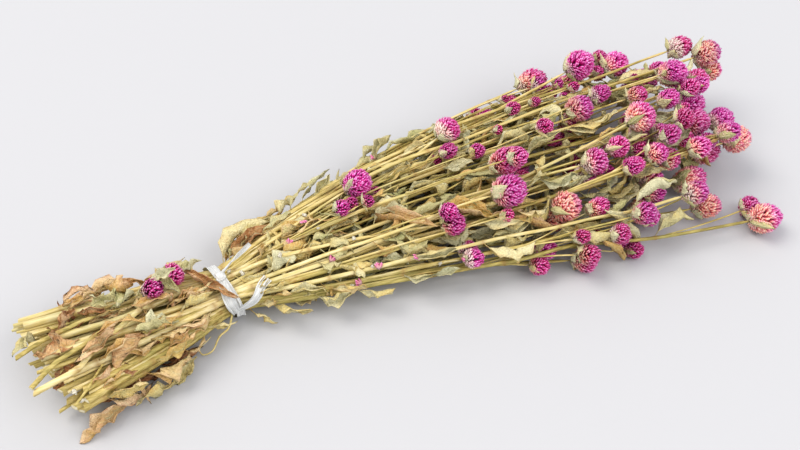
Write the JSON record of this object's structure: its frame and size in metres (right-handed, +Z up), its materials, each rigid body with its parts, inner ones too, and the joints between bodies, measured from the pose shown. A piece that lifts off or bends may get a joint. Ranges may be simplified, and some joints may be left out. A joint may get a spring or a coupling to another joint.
{
  "type": "dried flower bunch",
  "caption": "Bunch of dried globe amaranth lying down: leafy cut stems tied with white tape, globe-shaped papery flower heads at the far ends.",
  "frame": {"origin": "on the surface that the bunch lies on, under the tie, on the flat underside of the tape", "axes": "+X along the bunch from the cut stem ends to the flowers, +Y across it to the left, +Z up from the surface that it lies on"},
  "size_m": [0.5741, 0.2003, 0.0771],
  "materials": {
    "dry_stem": "matte, straw to sage green, dried",
    "dry_flower": "matte, papery, magenta",
    "white_tape": "white, slightly translucent"
  },
  "bodies": {
    "root": {"head_01": "dry_flower", "head_02": "dry_flower", "head_03": "dry_flower", "head_04": "dry_flower", "head_05": "dry_flower", "head_06": "dry_flower", "head_07": "dry_flower", "head_08": "dry_flower", "head_09": "dry_flower", "head_10": "dry_flower", "head_11": "dry_flower", "head_12": "dry_flower", "head_13": "dry_flower", "head_14": "dry_flower", "head_15": "dry_flower", "head_16": "dry_flower", "head_17": "dry_flower", "head_18": "dry_flower", "head_19": "dry_flower", "head_20": "dry_flower", "head_21": "dry_flower", "head_22": "dry_flower", "head_23": "dry_flower", "head_24": "dry_flower", "head_25": "dry_flower", "head_26": "dry_flower", "head_27": "dry_flower", "head_28": "dry_flower", "head_29": "dry_flower", "head_30": "dry_flower", "head_31": "dry_flower", "head_32": "dry_flower", "head_33": "dry_flower", "head_34": "dry_flower", "head_35": "dry_flower", "head_36": "dry_flower", "head_37": "dry_flower", "head_38": "dry_flower", "head_39": "dry_flower", "head_40": "dry_flower", "head_41": "dry_flower", "head_42": "dry_flower", "head_43": "dry_flower", "head_44": "dry_flower", "spray_01": "dry_stem", "spray_02": "dry_stem", "spray_03": "dry_stem", "spray_04": "dry_stem", "spray_05": "dry_stem", "spray_06": "dry_stem", "spray_07": "dry_stem", "spray_08": "dry_stem", "spray_09": "dry_stem", "spray_10": "dry_stem", "spray_11": "dry_stem", "spray_12": "dry_stem", "spray_13": "dry_stem", "spray_14": "dry_stem", "tie": "white_tape"}
  },
  "joints": []
}
